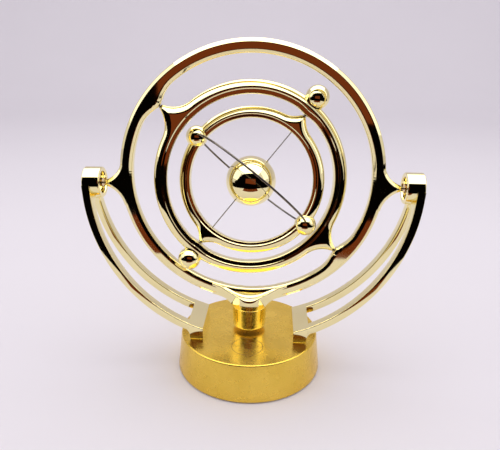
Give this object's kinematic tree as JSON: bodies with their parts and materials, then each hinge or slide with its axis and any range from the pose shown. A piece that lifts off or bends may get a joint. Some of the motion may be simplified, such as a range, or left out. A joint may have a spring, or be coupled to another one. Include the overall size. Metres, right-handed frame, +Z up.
{
  "type": "kinetic gimbal ring desk toy",
  "caption": "Desk ornament: nested polished gold rings that spin in curved arms on a round base, with a ball on a rod at the middle and a magnet foot swung by a hidden coil.",
  "frame": {"origin": "middle of the round base, on the surface the rubber feet stand on", "axes": "+Z up, +X to the viewer's right along the swing axis, +Y away from the viewer who faces the badge"},
  "size_m": [0.2012, 0.095, 0.2041],
  "materials": {
    "gold_chrome": "polished gold-coloured plating",
    "satin_gold": "satin gold lacquer",
    "black_plastic": "matte black moulding",
    "bobbin_plastic": "natural nylon",
    "rubber": "soft black rubber",
    "steel": "bright drawn steel",
    "spring_steel": "nickel-plated sheet and wire",
    "dark_steel": "dark drawn wire",
    "brass": "turned brass",
    "copper": "enamelled copper winding",
    "core_iron": "soft iron",
    "magnet_nickel": "nickel-plated magnet",
    "board_green": "green solder mask",
    "component_black": "moulded black",
    "resistor_body": "beige lacquer",
    "wire_insulation": "coloured insulation",
    "cell_can": "plain sleeve"
  },
  "bodies": {
    "base": {"base_shell": "satin_gold", "bottom_cover": "black_plastic", "rubber_feet": "rubber", "cover_screws": "steel", "contact_springs": "spring_steel", "contact_plates": "spring_steel", "coil_bobbin": "bobbin_plastic", "drive_coil": "copper", "coil_core": "core_iron", "circuit_board": "board_green", "board_posts": "bobbin_plastic", "drive_transistor": "component_black", "start_capacitor": "component_black", "resistors": "resistor_body", "battery_leads": "wire_insulation", "coil_leads": "wire_insulation", "right_arm": "gold_chrome", "left_arm": "gold_chrome", "arm_screws": "steel", "right_bush": "brass", "left_bush": "brass", "battery_cell_1": "cell_can", "battery_cell_2": "cell_can", "battery_cell_3": "cell_can", "battery_cell_4": "cell_can"},
    "door": {"battery_door": "black_plastic"},
    "outer": {"outer_ring": "gold_chrome", "outer_pivot_pins": "steel", "outer_socket_upper": "brass", "outer_socket_lower": "brass", "magnet_cup": "gold_chrome", "swing_magnet": "magnet_nickel"},
    "middle": {"middle_ring": "gold_chrome", "middle_pivot_pins": "steel", "middle_socket_upper": "brass", "middle_socket_lower": "brass", "planet_ball_upper": "gold_chrome", "planet_ball_lower": "gold_chrome"},
    "inner": {"inner_ring": "gold_chrome", "inner_pivot_pins": "steel", "sun_rod": "steel", "sun_ball": "gold_chrome", "orbit_hoop": "dark_steel", "orbit_ball_upper": "gold_chrome", "orbit_ball_lower": "gold_chrome"}
  },
  "joints": [
    {"name": "outer_ring_swing", "type": "hinge", "parent": "base", "child": "outer", "pos_m": [0, 0, 0.1229], "axis": [1, 0, 0], "continuous": true},
    {"name": "middle_ring_spin", "type": "hinge", "parent": "outer", "child": "middle", "pos_m": [0, -0.00006, 0.1254], "axis": [0.7749, 0.0154, -0.6318], "continuous": true},
    {"name": "inner_ring_spin", "type": "hinge", "parent": "middle", "child": "inner", "pos_m": [0, -0.00006, 0.1254], "axis": [0.6248, 0.1325, 0.7695], "continuous": true},
    {"name": "battery_door_slide", "type": "slide", "parent": "base", "child": "door", "axis": [0, 1, 0], "range_m": [0, 0.008]}
  ]
}
